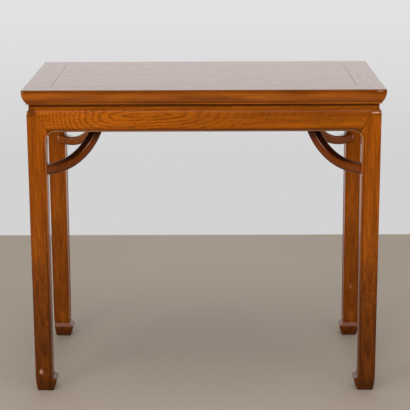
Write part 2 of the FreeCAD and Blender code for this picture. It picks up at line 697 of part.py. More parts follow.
# Legs, each drawn with its outer corner on the origin: a hoof outline cut from two faces of the post, spurs
# for the rounded corners, seats for the aprons, a stem beside the waist and two tenons into the frame

ANKLE = "(leg_width - leg_taper)"
TAPER_TOP = f"({BRACE_LEVEL} - 2 * brace_depth)"
NOSE = f"({ANKLE} + hoof_cove - (hoof_cove + hoof_nose) * cos(hoof_swing))"
NOSE_UP = "(hoof_height - (hoof_cove + hoof_nose) * sin(hoof_swing))"
FLANK = f"({NOSE} + hoof_nose * cos(hoof_lean))"
FLANK_UP = f"({NOSE_UP} - hoof_nose * sin(hoof_lean))"
LEG_REACH = f"({NOSE} + hoof_nose + leg_width)"


def leg_outline():
    """The leg's outline on either face, from the shoulder down the outer side and back up the inner side."""
    return [("waist_setback", SHOULDER, "left", SHOULDER_RADIUS),
            ("0", f"{SHOULDER} - shoulder_drop"),
            ("0", "toe_height", "left", "(toe_height^2 + toe_inset^2) / (2 * toe_inset)"),
            ("toe_inset", "0"),
            (f"{FLANK} - {FLANK_UP} * tan(hoof_lean)", "0"),
            (FLANK, FLANK_UP, "left", "hoof_nose"),
            (f"{ANKLE} + hoof_cove * (1 - cos(hoof_swing))", "hoof_height - hoof_cove * sin(hoof_swing)",
             "right", "hoof_cove"),
            (ANKLE, "hoof_height"),
            ("leg_width", TAPER_TOP),
            ("leg_width", SHOULDER)]


def spur_outline():
    """The small spur that carries the leg's half of the rounded corner."""
    root = "(leg_width - apron_corner / 2)"
    return [(root, f"{APRON_BOTTOM} - apron_corner"),
            ("leg_width", f"{APRON_BOTTOM} - apron_corner", "right", "apron_corner"),
            (MITRE_FOOT, MITRE_FOOT_UP),
            (root, f"{SHOULDER} - ({root} - mitre_top) / {MITRE_SLOPE}")]


def seat_outline():
    """What the apron takes out of one face of the leg."""
    beyond = f"({MITRE_FOOT} + apron_corner)"
    below = f"({SHOULDER} - ({beyond} - mitre_top) / {MITRE_SLOPE})"
    return [("mitre_top", SHOULDER), (beyond, below), (f"{beyond} + leg_width", below),
            (f"{beyond} + leg_width", f"{SHOULDER} + {PAST}"), ("mitre_top", f"{SHOULDER} + {PAST}")]


def on_both_faces(name, outline, thick, inset="0"):
    """Two solids of one outline: drawn inward from the leg's front face, and from its side face."""
    faces = ((FRONT_VIEW, ACROSS_Y, "y"), (SIDE_VIEW, ACROSS_X, "x"))
    return [extrude(f"{name}_{axis}", loose_sketch(f"{name}_sketch_{axis}", view, outline), way, thick,
                    **{axis: inset})
            for view, way, axis in faces]


post = join("leg_post", "MultiCommon", *on_both_faces("leg_profile", leg_outline(), LEG_REACH))
blank = join("leg_blank", "MultiFuse", post, *on_both_faces("leg_spur", spur_outline(), "apron_thick"))
seated = cut("leg_seated", blank, *on_both_faces("leg_seat", seat_outline(), "apron_thick"))

toe = number("toe_inset") + NEAR
ankle = number(ANKLE) - NEAR
half_leg = number("leg_width") / 2
eased = round_edges(
    "leg_eased", seated,
    ("outer_arris", lambda point: abs(point.x - point.y) < NEAR and point.x < half_leg),
    ("inner_arris", lambda point: point.y < toe and point.x > ankle),
    ("inner_arris", lambda point: point.x < toe and point.y > ankle))

bead_path = [(f"{ANKLE} - {BEAD_IN}", "hoof_height"),
             (f"leg_width - {BEAD_IN}", TAPER_TOP),
             (f"leg_width - {BEAD_IN}", BEND_LEVEL, "right", BEAD_BEND),
             ("leg_width + apron_corner", BEAD_LEVEL)]
bead_seats = on_both_faces("leg_bead_seat", seat_outline(), "2 * apron_thick", inset="-apron_thick")
beads = [cut(f"leg_bead_{side}", add_bead(f"leg_bead_rod_{side}", view, bead_path), seat)
         for side, view, seat in zip(("front", "side"), (FRONT_VIEW, SIDE_VIEW), bead_seats)]
mortises = on_both_faces("apron_mortise", apron_tenon("joint_gap"), "apron_tenon_thick + 2 * joint_gap",
                         inset="apron_tenon_depth - joint_gap")
stem = box("leg_stem", ("waist_setback", "waist_setback", SHOULDER), ("mitre_top", "mitre_top", FRAME_BOTTOM))
core = box("leg_core", ("apron_thick", "apron_thick", SHOULDER), ("leg_width", "leg_width", FRAME_BOTTOM))
rail_tenon = box("leg_rail_tenon", (TENON_INNER, TENON_OUTER, FRAME_BOTTOM),
                 (f"{TENON_INNER} + {LEG_TENON}", f"{TENON_OUTER} + {LEG_TENON}", TENON_CEILING))
end_tenon = box("leg_end_tenon", (TENON_OUTER, TENON_INNER, FRAME_BOTTOM),
                (f"{TENON_OUTER} + {LEG_TENON}", f"{TENON_INNER} + {LEG_TENON}",
                 f"{CORNER_TENON_BOTTOM} - joint_gap"))
topped = join("leg_topped", "MultiFuse", eased, *beads, stem, core, rail_tenon, end_tenon)


def hook_outline(low, room):
    """The brace's tenon, which hooks upward inside the leg, or with room around it its mortise.

    It is seen in the brace's upright plane: along from the leg's inner corner, up from the brace's level.
    """
    back = f"-hook_length - {room}"
    bottom = f"-{low} - {room}"
    return [("hook_width", bottom),
            ("hook_width", f"hook_high + {room}"),
            ("0", f"hook_high + {room}"),
            (back, f"hook_high + hook_lift + {room}"),
            (back, bottom)]


DIAGONAL = FreeCAD.Rotation(UP, 45)
hook_mortise = loose_sketch("hook_mortise_sketch", FRONT_VIEW,
                            hook_outline("(hook_low + wedge_height)", "joint_gap"))
hook_room = extrude("hook_room", hook_mortise, ACROSS_Y, "hook_width + 2 * joint_gap", symmetric=True)
turned_room = join("turned_hook_room", "Compound", hook_room)
turned_room.Placement.Rotation = DIAGONAL
bind(turned_room, x="leg_width", y="leg_width", z=BRACE_LEVEL)
leg = cut("front_left_leg", topped, *mortises, turned_room)
leg.Label = "front_left_leg"
bind(leg, x=f"-{FACE['x']}", y=f"-{FACE['y']}")
leg_right = mirrored("front_right_leg", leg, ACROSS_X)
pieces += [leg, leg_right,
           mirrored("back_left_leg", leg, ACROSS_Y), mirrored("back_right_leg", leg_right, ACROSS_Y)]


# Braces: an S-shaped outline with a tapering width, notched over the leg's inner corner and cut flat under
# the batten, with a hooked tenon below and a pinned stub tenon above


def beside(along, up, heading, offset):
    """A point of the brace's outline, offset to the left of its middle line."""
    return f"{along} - {offset} * sin({heading})", f"{up} + {offset} * cos({heading})"


PAST_END = "(brace_end + 2 * brace_depth)"
MIDDLE_LINE = [
    ("-brace_root", "0", "0"),
    ("brace_lead", "0", "0"),
    (BEND_ALONG, BEND_UP, "brace_angle"),
    (STRAIGHT_ALONG, STRAIGHT_UP, "brace_angle"),
    (f"({STRAIGHT_ALONG} + {RETURN_ALONG})", f"({STRAIGHT_UP} + {RETURN_UP})", "return_angle"),
    (f"({STRAIGHT_ALONG} + {RETURN_ALONG} + {PAST_END} * cos(return_angle))",
     f"({STRAIGHT_UP} + {RETURN_UP} + {PAST_END} * sin(return_angle))", "return_angle")]
lower = [beside(*point, "(-brace_depth / 2)") for point in MIDDLE_LINE]
upper = [beside(*point, "(brace_depth / 2)") for point in reversed(MIDDLE_LINE)]
lower[1] += ("left", "brace_radius + brace_depth / 2")
lower[3] += ("right", "return_radius - brace_depth / 2")
upper[1] += ("left", "return_radius + brace_depth / 2")
upper[3] += ("right", "brace_radius - brace_depth / 2")
curve = extrude("brace_curve", loose_sketch("brace_curve_sketch", FRONT_VIEW, lower + upper), ACROSS_Y,
                "2 * brace_root", symmetric=True)
plan_end = MIDDLE_LINE[-1][0]
plan = loose_sketch("brace_plan_sketch", None, [
    ("-brace_root", "-brace_root / 2"), (f"{plan_end} + brace_depth", "-brace_width / 2"),
    (f"{plan_end} + brace_depth", "brace_width / 2"), ("-brace_root", "brace_root / 2")])
taper = extrude("brace_taper", plan, UP, f"2 * {BRACE_RISE}", z=f"-{BRACE_RISE} / 2")
brace_blank = join("brace_blank", "MultiCommon", curve, taper)
half_width = number("brace_width") / 2
run_end = number(STRAIGHT_ALONG)
brace_eased = round_edges(
    "brace_eased", brace_blank,
    ("brace_arris", lambda point: abs(point.y) > half_width and 0 < point.x < run_end))
notch_corner = "(joint_gap / sin(45))"
notch = box("brace_notch", (notch_corner, "0", "-brace_root"),
            (f"{notch_corner} + 2 * brace_root", "2 * brace_root", "brace_root"), turn=135)
flat = box("brace_flat", ("0", "-brace_root", f"{BRACE_RISE} - joint_gap"),
           (f"{plan_end} + 2 * brace_root", "brace_root", f"2 * {BRACE_RISE}"))
notched = cut("brace_notched", brace_eased, notch, flat)
hook = extrude("brace_hook", loose_sketch("brace_hook_sketch", FRONT_VIEW, hook_outline("hook_low", "0")),
               ACROSS_Y, "hook_width", symmetric=True)
half_diagonal = "(stub_width * sin(45))"
stub = box("brace_stub", (TOP_ALONG, f"-{half_diagonal}", f"{BRACE_RISE} - stub_height"),
           (f"{TOP_ALONG} + stub_width", f"stub_width - {half_diagonal}", f"{BRACE_RISE} + stub_height"),
           turn=45)
with_tenons = join("brace_whole", "MultiFuse", notched, hook, stub)
pin_hole = doc.addObject("Part::Cylinder", "brace_pin_hole")
pin_hole.Placement.Rotation = FreeCAD.Rotation(UP, FreeCAD.Vector(1, -1, 0))
bind(pin_hole, Radius="pin_width / 2 + joint_gap / 2", Height="2 * stub_width",
     x=f"{TOP_ALONG} - {half_diagonal}", y=half_diagonal, z=f"{BRACE_RISE} + stub_height / 2")
brace = cut("front_left_brace", with_tenons, pin_hole)
brace.Label = "front_left_brace"
brace.Placement.Rotation = DIAGONAL
bind(brace, x=f"leg_width - {FACE['x']}", y=f"leg_width - {FACE['y']}", z=BRACE_LEVEL)
brace_right = mirrored("front_right_brace", brace, ACROSS_X)
pieces += [brace, brace_right, mirrored("back_left_brace", brace, ACROSS_Y),
           mirrored("back_right_brace", brace_right, ACROSS_Y)]


# Wedges under the hooked tenons, and pins through the stub tenons


def four_corners(label, piece):
    """One node that holds the piece and its mirror images at the other three corners."""
    across = mirrored(f"{label}_right", piece, ACROSS_X)
    group = join(label, "Compound", piece, across, mirrored(f"{label}_back_left", piece, ACROSS_Y),
                 mirrored(f"{label}_back_right", across, ACROSS_Y))
    group.Label = label
    return group


wedge_sketch = loose_sketch("wedge_sketch", FRONT_VIEW, [
    ("0", "-hook_low - wedge_height"),
    ("0", "-hook_low - joint_gap"),
    ("-hook_length", "-hook_low - joint_gap"),
    ("-hook_length", "-hook_low - wedge_height + wedge_taper")])
wedge_flat = extrude("wedge_flat", wedge_sketch, ACROSS_Y, "hook_width", symmetric=True)
wedge_bounds = box("wedge_bounds", ("0", "0", "-2 * brace_root"), ("2 * brace_root", "2 * brace_root", "0"),
                   turn=135)
wedge = join("wedge", "MultiCommon", wedge_flat, wedge_bounds)
wedge.Placement.Rotation = DIAGONAL
bind(wedge, x=f"leg_width - {FACE['x']}", y=f"leg_width - {FACE['y']}", z=BRACE_LEVEL)
pin = doc.addObject("Part::Cylinder", "pin")
pin.Placement.Rotation = FreeCAD.Rotation(UP, ACROSS_X)
bind(pin, Radius="pin_width / 2", Height="batten_width",
     x=f"-{BRACE_TOP['x']} - batten_width / 2", y=f"-{BRACE_TOP['y']}", z=PIN_LEVEL)
pieces += [four_corners("brace_wedges", wedge), four_corners("brace_pins", pin)]


# Every piece is tested, then written to its own file

doc.recompute()
for thing in doc.Objects:
    if {"Invalid", "Error"} & set(thing.State):
        raise ValueError(f"{thing.Label} could not be built: {thing.State}")
os.makedirs("parts", exist_ok=True)
for piece in pieces:
    if piece.Shape.isNull() or not piece.Shape.isValid() or not piece.Shape.Solids:
        raise ValueError(f"{piece.Label} has no sound solid")
    piece.Shape.exportStep(f"parts/{piece.Label}.step")
    print(piece.Label, len(piece.Shape.Solids), round(piece.Shape.Volume / 1000, 1), "cm3")
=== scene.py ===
from math import radians

import bpy
import numpy as np
from mathutils import Matrix, Vector


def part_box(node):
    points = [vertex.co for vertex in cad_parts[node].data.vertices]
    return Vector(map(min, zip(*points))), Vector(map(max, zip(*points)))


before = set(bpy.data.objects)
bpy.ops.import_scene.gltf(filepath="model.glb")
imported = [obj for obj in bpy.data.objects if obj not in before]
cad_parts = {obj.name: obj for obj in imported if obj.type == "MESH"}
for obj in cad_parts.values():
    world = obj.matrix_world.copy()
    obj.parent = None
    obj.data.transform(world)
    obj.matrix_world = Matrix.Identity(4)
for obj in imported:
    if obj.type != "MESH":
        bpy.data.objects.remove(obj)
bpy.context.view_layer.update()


# Legs: four square elm posts, each worked from one length of wood down to its hoof foot, the grain upright.
# They are planed, stained a warm brown and lacquered, so dark pores and arched rings show under a low gloss.
# Grime has darkened the shoulders, the legs grow darker towards the feet, and a few chips show bare wood.

# Sizes and places in metres, from the desk's middle and from the floor. The mitre's normal is along the
# side and upwards, and WIDE is a reach past the whole desk.
LEG_FACE = Vector((0.479, 0.264, 0))
LEG_WIDTH = 0.050
LEG_TAPER = 0.0025
LEG_MIDDLE = LEG_FACE - Vector((LEG_WIDTH / 2, LEG_WIDTH / 2, 0))
ANKLE = 0.047
TAPER_TOP = 0.580
SHOULDER = 0.8045
SHOULDER_CORNER = Vector((0.474, 0.259, 0.798))
WAIST_TOP = 0.8175
BEAD_INSET = 0.0018
BEAD_BEND = 0.0298
BEAD_TOP = 0.7478
MITRE_START = 0.024
MITRE_NORMAL = (0.8898, -0.4563)
UPRIGHT = (0, 0, 1)
WIDE = 5.0


def linear(colour):
    """An sRGB hex colour as linear RGB and alpha: c / 12.92 if dark, else ((c + 0.055) / 1.055) ** 2.4."""
    srgb = np.array([int(colour[i:i + 2], 16) / 255 for i in (1, 3, 5)])
    return (*np.where(srgb <= 0.04045, srgb / 12.92, ((srgb + 0.055) / 1.055) ** 2.4), 1.0)


def add(tree, kind, inputs=None, stops=(), **settings):
    """Add a node, set its properties, fill its inputs with values or links, and give a ramp its stops.

    Inputs go by name or number. A map range's are its value, the ends it comes from and the ends it goes to.
    A colour mix has its share at 0 and its colours at 6 and 7.
    """
    node = tree.nodes.new(kind)
    for name, value in settings.items():
        setattr(node, name, value)
    for name, value in (inputs or {}).items():
        if isinstance(value, bpy.types.NodeSocket):
            tree.links.new(value, node.inputs[name])
        else:
            node.inputs[name].default_value = value
    for index, (place, colour) in enumerate(stops):
        spots = node.color_ramp.elements
        spot = spots[index] if index < len(spots) else spots.new(place)
        spot.position = place
        spot.color = linear(colour)
    return node


# The bead round the openings is paler, partly as rubbed wear and partly as a painted highlight, most of all
# near the aprons, with a line of painted shade in the crease beside it. Each has a place beside the bead's
# middle and a width, and lies only on the outer face. The mitres hold grime too.
RUB_AND_HIGHLIGHT, SHADE_AND_GRIME = "#cc9064", "#4a1a04"
RUB_FROM, RUB_TO = 0.66, 0.735
RUB_LEAST, RUB_MOST = 0.15, 0.7
BEAD_SHADE_SHARE, MITRE_SHARE = 0.55, 0.4
PALE_PLACE, PALE_WIDTH = -0.0004, 0.0018
BEAD_SHADE_PLACE, BEAD_SHADE_WIDTH = 0.0030, 0.0020
MITRE_WIDTH, MITRE_FADE = 0.0022, 0.001
FACE_FROM, FACE_TO = -0.006, -0.004


def edge_lines(tree, place):
    """Lines round the openings and along the mitres, on the long and the short sides, as shares and colours.

    A side's bead follows an upright line, a bend and a level line. With q the offset from the bend's middle,
    and no part of q under zero, a point lies |q| - BEAD_BEND past the bead's middle. The legs' taper moves
    the bead outwards towards the feet. A point's distance from a mitre is its part along the mitre's normal.
    """
    height = add(tree, "ShaderNodeSeparateXYZ", {0: place}).outputs["Z"]
    taper = add(tree, "ShaderNodeMapRange", {0: height, 1: ANKLE, 2: TAPER_TOP, 3: -LEG_TAPER, 4: 0.0})
    rub_and_highlight_most = add(tree, "ShaderNodeMapRange", {0: height, 1: RUB_FROM, 2: RUB_TO, 3: RUB_LEAST, 4: RUB_MOST})
    below = add(tree, "ShaderNodeMapRange", {
        0: height, 1: SHOULDER - MITRE_FADE, 2: SHOULDER, 3: MITRE_SHARE, 4: 0.0})
    folded = add(tree, "ShaderNodeVectorMath", {0: place}, operation="ABSOLUTE").outputs[0]

    def stripe(distance, middle, width, most):
        """The share of a line across a distance: most at its middle, and none from width away."""
        gap = add(tree, "ShaderNodeMath", {0: distance, 1: middle}, operation="SUBTRACT").outputs[0]
        away = add(tree, "ShaderNodeMath", {0: gap}, operation="ABSOLUTE").outputs[0]
        return add(tree, "ShaderNodeMapRange", {0: away, 1: width / 3, 2: width, 3: most, 4: 0.0}).outputs[0]

    lines = []
    for along, across in ((Vector((1, 0, 0)), Vector((0, 1, 0))), (Vector((0, 1, 0)), Vector((1, 0, 0)))):
        inner = LEG_FACE.dot(along) - LEG_WIDTH + BEAD_INSET
        bend = along * (inner - BEAD_BEND) + Vector((0, 0, BEAD_TOP - BEAD_BEND))
        upright = add(tree, "ShaderNodeVectorMath", {0: taper.outputs[0], 1: along, 2: folded},
                      operation="MULTIPLY_ADD")
        offset = add(tree, "ShaderNodeVectorMath", {0: upright.outputs[0], 1: bend}, operation="SUBTRACT")
        on_side = add(tree, "ShaderNodeVectorMath", {0: offset.outputs[0], 1: along + Vector(UPRIGHT)},
                      operation="MULTIPLY")
        outward = add(tree, "ShaderNodeVectorMath", {0: on_side.outputs[0], 1: (0, 0, 0)},
                      operation="MAXIMUM")
        bead = add(tree, "ShaderNodeVectorMath", {0: outward.outputs[0]}, operation="LENGTH")
        depth = add(tree, "ShaderNodeVectorMath", {0: folded, 1: across}, operation="DOT_PRODUCT")
        face = LEG_FACE.dot(across)
        pale, dark = [add(tree, "ShaderNodeMapRange", {
            0: depth.outputs["Value"], 1: face + FACE_FROM, 2: face + FACE_TO, 3: 0.0, 4: most}).outputs[0]
            for most in (rub_and_highlight_most.outputs[0], BEAD_SHADE_SHARE)]
        normal = along * MITRE_NORMAL[0] + Vector((0, 0, MITRE_NORMAL[1]))
        start = along * (LEG_FACE.dot(along) - MITRE_START) + Vector((0, 0, SHOULDER))
        mitre = add(tree, "ShaderNodeVectorMath", {0: folded, 1: normal}, operation="DOT_PRODUCT")
        lines += [
            # A pale line on the bead: rubbed wear and a painted highlight
            (stripe(bead.outputs["Value"], BEAD_BEND + PALE_PLACE, PALE_WIDTH, pale), RUB_AND_HIGHLIGHT),
            # Painted shade in the crease beside the bead, then grime in the mitre joint
            (stripe(bead.outputs["Value"], BEAD_BEND + BEAD_SHADE_PLACE, BEAD_SHADE_WIDTH, dark), SHADE_AND_GRIME),
            (stripe(mitre.outputs["Value"], start.dot(normal), MITRE_WIDTH, below.outputs[0]), SHADE_AND_GRIME)]
    return lines


# The wood's sizes in mm. Over SEASON the rings' widths change by a share of a ring. Noise has a size along
# the grain and two across it: slow waves and quick ripples in the rings, streaks of tone, and pores, drawn
# about twice their real width so that they show.
MM_PER_METRE = 1000
RING = 8.5
SEASON = 20
SEASON_SHARE = 0.3
WAVE = (260, 45, 45)
RIPPLE = (16, 8, 8)
STREAK = (180, 16, 16)
PORE = (40, 2.2, 2.2)


def ring_phase(tree, along, moved, bow, skew, first):
    """How far a point is through its growth ring, from 0 at one dark line to 1 at the next.

    A point's radius is its distance in mm from the pith, which bows sideways by bow * a^2 * (1 - skew * a)
    at a mm along it. That gives the nested arches of a flat-sawn face. Rings are counted from the radius
    first, and noise along the radius makes some years wider than others.
    """
    square = add(tree, "ShaderNodeMath", {0: along, 1: along}, operation="MULTIPLY")
    lean = add(tree, "ShaderNodeMath", {0: along, 1: -skew, 2: 1.0}, operation="MULTIPLY_ADD")
    reach = add(tree, "ShaderNodeMath", {0: square.outputs[0], 1: lean.outputs[0]}, operation="MULTIPLY")
    bowed = add(tree, "ShaderNodeVectorMath", {0: bow, 1: reach.outputs[0], 2: moved},
                operation="MULTIPLY_ADD")
    across = add(tree, "ShaderNodeVectorMath", {0: bowed.outputs[0], 1: (0, 1, 1)}, operation="MULTIPLY")
    radius = add(tree, "ShaderNodeVectorMath", {0: across.outputs[0]}, operation="LENGTH").outputs["Value"]
    season = add(tree, "ShaderNodeTexNoise", {"W": radius, "Scale": 1 / SEASON, "Detail": 1},
                 noise_dimensions="1D")
    years = add(tree, "ShaderNodeMath", {0: radius, 1: 1 / RING, 2: -first / RING}, operation="MULTIPLY_ADD")
    uneven = add(tree, "ShaderNodeMath", {0: season.outputs[0], 1: SEASON_SHARE, 2: years.outputs[0]},
                 operation="MULTIPLY_ADD")
    return add(tree, "ShaderNodeMath", {0: uneven.outputs[0]}, operation="FRACT").outputs[0]


# Stained elm, wear, painted light and lacquer: colours, a crease's width in metres for the painted crease
# shade, the uneven edge of a mark, and gloss. The ranges are those of the noise and of the openness over
# which pores and the painted crease shade go from dark to clear.
ELM_LIGHT, ELM_DEEP, ELM_LINE = "#c2660e", "#964808", "#602604"
BARE_AND_HIGHLIGHT, SHADE_BLACK = "#f0b090", "#140802"
OCCLUSION_DISTANCE, OCCLUSION_SHADE = 0.005, 0.3
OCCLUSION_RANGE = (0.45, 0.9)
PORE_RANGE, DULL_RANGE = (0.35, 0.62), (0.35, 0.65)
RAGGED, MARK_FROM, MARK_TO = 0.5, 0.5, 1.25
PORE_ROUGHNESS, FACE_ROUGHNESS, LACQUER_ROUGHNESS = 0.42, 0.32, 0.1
LACQUER_IOR, WOOD_SPECULAR = 1.33, 0.3
RELIEF, RELIEF_DEPTH = 0.015, 0.0003
WHOLE_PIECE = ((0, 0, 0), (1e3, 1e3, 1e3))


def elm(name, grain, pith, bow=(0, 0, 0), skew=0.0, first=0.0, wander=4.0, ripple=3.0, figure=0.3,
        pitted=0.26, shown=WHOLE_PIECE, light=ELM_LIGHT, deep=ELM_DEEP, line=ELM_LINE, marks=(), turned=(),
        bare=(), edged=False, coat=0.6):
    """Lacquered elm, cut from a solid block of wood with growth rings about a pith line.

    The pith runs through the point pith along grain; bow, skew and first shape the rings as ring_phase says.
    Noise moves the rings by about wander mm in slow waves and by ripple mm in quick ones. Figure is how
    strongly they show within shown, a centre and three reaches; beyond it they fade to a fifth. Pitted is
    how much the pores darken the wood.

    A mark is a centre, three reaches and a shade: under 1 for dirt, knots, worm holes and painted shade,
    over 1 for a painted highlight on a bead. A turned row is a direction, the cosines of the angles to it at
    which a tint starts and is full, the tint's share and its colour; these tints are painted shade, painted
    highlights and a painted reflection. A bare patch is a centre, three reaches and the share of pale wood,
    bare at chips and scuffs and a painted highlight elsewhere. An edged piece has the lines of edge_lines.
    Coat is how much lacquer it has.
    """
    material = bpy.data.materials.new(name)
    material.use_nodes = True
    tree = material.node_tree
    tree.nodes.clear()

    # The block lies along X, in mm from the pith, less the mean of the noise that moves its rings
    turn = Vector(grain).rotation_difference(Vector((1, 0, 0)))
    mean = (wander + ripple) / 2
    place = add(tree, "ShaderNodeTexCoord").outputs["Object"]
    board = add(tree, "ShaderNodeMapping", {
        "Vector": place, "Rotation": turn.to_euler(), "Scale": (MM_PER_METRE, MM_PER_METRE, MM_PER_METRE),
        "Location": turn @ (Vector(pith) * -MM_PER_METRE) - Vector((0, mean, mean))}).outputs[0]
    noises = []
    for size, detail, roughness in ((WAVE, 2, 0.5), (RIPPLE, 2, 0.5), (STREAK, 3, 0.5), (PORE, 3, 0.6)):
        sized = add(tree, "ShaderNodeVectorMath", {0: board, 1: size}, operation="DIVIDE")
        noises.append(add(tree, "ShaderNodeTexNoise", {
            "Vector": sized.outputs[0], "Scale": 1, "Detail": detail, "Roughness": roughness}))
    waves, ripples, streaks, pores = noises

    def near(centre, reaches, inside, outside):
        """A value that goes from inside to outside across an uneven edge around a centre."""
        offset = add(tree, "ShaderNodeVectorMath", {0: place, 1: centre}, operation="SUBTRACT")
        share = add(tree, "ShaderNodeVectorMath", {0: offset.outputs[0], 1: reaches}, operation="DIVIDE")
        distance = add(tree, "ShaderNodeVectorMath", {0: share.outputs[0]}, operation="LENGTH")
        ragged = add(tree, "ShaderNodeMath", {
            0: ripples.outputs[0], 1: RAGGED, 2: distance.outputs["Value"]}, operation="MULTIPLY_ADD")
        return add(tree, "ShaderNodeMapRange", {
            0: ragged.outputs[0], 1: MARK_FROM, 2: MARK_TO, 3: inside, 4: outside},
            interpolation_type="SMOOTHSTEP").outputs[0]

    # Rings: late wood ends each one in a thin dark line
    waved = add(tree, "ShaderNodeVectorMath", {
        0: waves.outputs["Color"], 1: (0, wander, wander), 2: board}, operation="MULTIPLY_ADD")
    rippled = add(tree, "ShaderNodeVectorMath", {
        0: ripples.outputs["Color"], 1: (0, ripple, ripple), 2: waved.outputs[0]}, operation="MULTIPLY_ADD")
    along = add(tree, "ShaderNodeSeparateXYZ", {0: board}).outputs["X"]
    phase = ring_phase(tree, along, rippled.outputs[0], turn @ Vector(bow), skew, first)
    growth = add(tree, "ShaderNodeValToRGB", {0: phase}, stops=(
        (0.0, line), (0.02, line), (0.1, light), (0.6, light), (0.94, deep), (1.0, line)))

    # Layers over the streaks, from the wood up: rings and pores, lines along the edges, painted light by the
    # way a face looks, painted shade in creases a few mm wide, marks, and bare wood and painted highlights
    tone = add(tree, "ShaderNodeValToRGB", {0: streaks.outputs[0]}, stops=((0.3, deep), (0.7, light)))
    pore = add(tree, "ShaderNodeMapRange", {
        0: pores.outputs[0], 1: PORE_RANGE[0], 2: PORE_RANGE[1], 3: 1 - pitted, 4: 1 + pitted / 4})
    layers = [(near(*shown, figure, figure / 5), growth.outputs[0], "MIX"),
              (1.0, pore.outputs[0], "MULTIPLY")]
    if edged:
        layers += [(share, linear(tint), "MIX") for share, tint in edge_lines(tree, place)]
    normal = add(tree, "ShaderNodeNewGeometry").outputs["Normal"]
    for direction, start, full, most, tint in turned:
        toward = add(tree, "ShaderNodeVectorMath", {0: normal, 1: Vector(direction).normalized()},
                     operation="DOT_PRODUCT")
        share = add(tree, "ShaderNodeMapRange", {
            0: toward.outputs["Value"], 1: start, 2: full, 3: 0.0, 4: most})
        layers.append((share.outputs[0], linear(tint), "MIX"))
    # Painted shade in creases a few mm wide, darker where ambient occlusion finds the surface hemmed in
    occlusion = add(tree, "ShaderNodeAmbientOcclusion", {"Distance": OCCLUSION_DISTANCE}, samples=8)
    occlusion_shade = add(tree, "ShaderNodeMapRange", {
        0: occlusion.outputs["AO"], 1: OCCLUSION_RANGE[0], 2: OCCLUSION_RANGE[1], 3: OCCLUSION_SHADE, 4: 1.0})
    layers.append((1.0, occlusion_shade.outputs[0], "MULTIPLY"))
    layers += [(1.0, near(*mark, 1.0), "MULTIPLY") for mark in marks]
    # Pale patches: bare wood at chips and scuffs, painted highlights at shoulders, corners and brace roots
    layers += [(near(*patch, 0.0), linear(BARE_AND_HIGHLIGHT), "MIX") for patch in bare]
    colour = tone.outputs[0]
    for share, tint, blend in layers:
        colour = add(tree, "ShaderNodeMix", {0: share, 6: colour, 7: tint}, data_type="RGBA",
                     blend_type=blend).outputs[2]

    # Lacquer: a thin glossy coat over wood that is a little duller in its pores
    dull = add(tree, "ShaderNodeMapRange", {
        0: pores.outputs[0], 1: DULL_RANGE[0], 2: DULL_RANGE[1], 3: PORE_ROUGHNESS, 4: FACE_ROUGHNESS})
    relief = add(tree, "ShaderNodeBump", {
        "Height": pores.outputs[0], "Strength": RELIEF, "Distance": RELIEF_DEPTH})
    surface = add(tree, "ShaderNodeBsdfPrincipled", {
        "Base Color": colour, "Roughness": dull.outputs[0], "Normal": relief.outputs[0], "IOR": LACQUER_IOR,
        "Specular IOR Level": WOOD_SPECULAR, "Coat Weight": coat, "Coat Roughness": LACQUER_ROUGHNESS,
        "Coat IOR": LACQUER_IOR})
    add(tree, "ShaderNodeOutputMaterial", {0: surface.outputs[0]})
    return material


def dress(node, material):
    """Give a piece one material all over."""
    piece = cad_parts[node]
    piece.data.materials.clear()
    piece.data.materials.append(material)


# A leg's wood, lacquer and wear. The feet are darker than the legs, the front ones most of all.
LEG_LIGHT, LEG_DEEP = "#b65e0c", "#823c08"
LEG_COAT = 0.25
LEG_PITH = Vector((0.004, -0.03, 0.90))
LEG_BOW = (0, -6e-5, 0)
FOOT_REACH = (0.3, 0.3, 0.62)
FOOT_SHADE = {"front": 0.37, "back": 0.64}
HOOF_REACH = (0.3, 0.3, 0.06)
HOOF_SHADE = {"front": 0.66, "back": 0.45}
SHOULDER_REACH = (0.03, 0.03, 0.02)
UNDER_FRAME_LEG_REACH = (WIDE, WIDE, 0.008)
WORM_HOLE = (0.003, 0.003, 0.003)
GRIMY, UNDER_FRAME_SHADOW, HOLE_SHADE, LEFT_LEG_SHADE = 0.55, 0.25, 0.35, 0.88
HIGHLIGHT_SHARE, CHIP_SHARE, SCUFF_SHARE = 0.8, 0.5, 0.35
TOE_SHEEN, TOE_SHEEN_SHARE = "#d89484", 0.65
TOE_FACING, TOE_TURN = (0, -0.8, 1), (0.85, 0.97)

# A painted pale reflection on the back toes, painted highlights on the shoulders, a chip with grime by it,
# a scuff and two worm holes
toe_sheen = {"front": (), "back": ((TOE_FACING, *TOE_TURN, TOE_SHEEN_SHARE, TOE_SHEEN),)}
# The shoulder patches are painted highlights; the chip and the scuff are bare wood
bare_and_highlight_patches = {
    "front_left_leg": [((-0.477, -0.262, 0.7955), (0.004, 0.006, 0.004), HIGHLIGHT_SHARE),
                       ((-0.462, -0.264, 0.058), (0.007, 0.009, 0.011), CHIP_SHARE)],
    "front_right_leg": [((0.464, -0.262, 0.7955), (0.022, 0.006, 0.0035), HIGHLIGHT_SHARE)],
    "back_right_leg": [((0.453, 0.214, 0.157), (0.004, 0.004, 0.012), SCUFF_SHARE)]}
worn_spots = {
    "front_left_leg": [((-0.454, -0.264, 0.45), (WIDE, WIDE, 0.5), LEFT_LEG_SHADE),
                       ((-0.450, -0.264, 0.064), (0.009, 0.009, 0.010), GRIMY)],
    "front_right_leg": [((0.462, -0.264, 0.577), WORM_HOLE, HOLE_SHADE),
                        ((0.463, -0.264, 0.522), WORM_HOLE, HOLE_SHADE)]}
corners = [(row, side, Vector((right, back, 1)))
           for row, back in (("front", -1), ("back", 1)) for side, right in (("left", -1), ("right", 1))]
